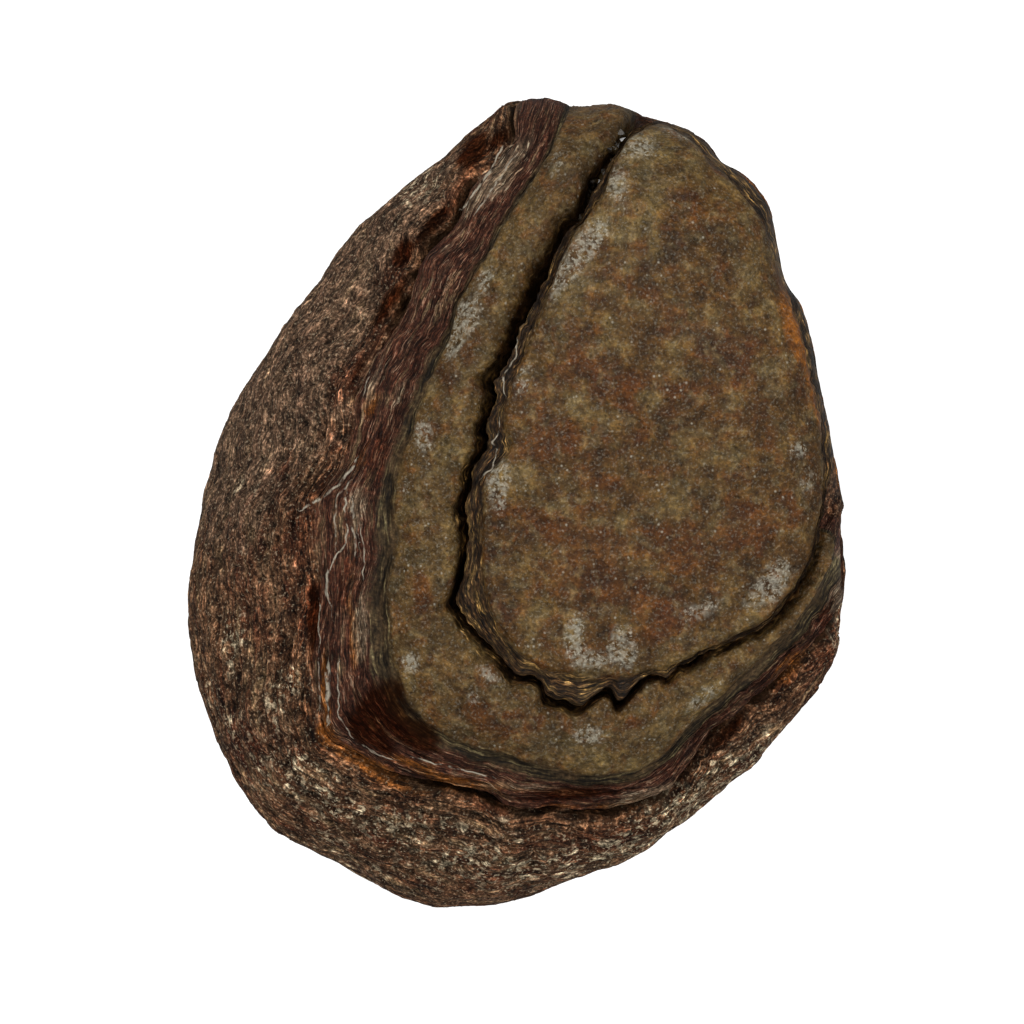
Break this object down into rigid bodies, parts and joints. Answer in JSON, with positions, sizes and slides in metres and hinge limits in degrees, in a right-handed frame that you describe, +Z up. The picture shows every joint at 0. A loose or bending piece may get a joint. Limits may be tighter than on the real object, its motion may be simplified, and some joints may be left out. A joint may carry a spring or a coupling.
{
  "type": "agate geode chunk",
  "caption": "Naturally broken cobble of brown rhyolite with an agate geode in its face: a quartz lens, a crimped open fissure, a quartz ring and banded jasper.",
  "frame": {"origin": "on the surface that the stone lies on, at the middle of its bounding box in plan", "axes": "+Z up, out of the agate face; +Y along the stone's length, towards its narrow end, where the fissure opens"},
  "size_m": [0.0788, 0.0969, 0.0582],
  "materials": {
    "agate_and_rhyolite": "satin",
    "drusy_quartz": "gloss"
  },
  "bodies": {
    "root": {"geode_stone": "agate_and_rhyolite", "fissure_crystals": "drusy_quartz"}
  },
  "joints": []
}
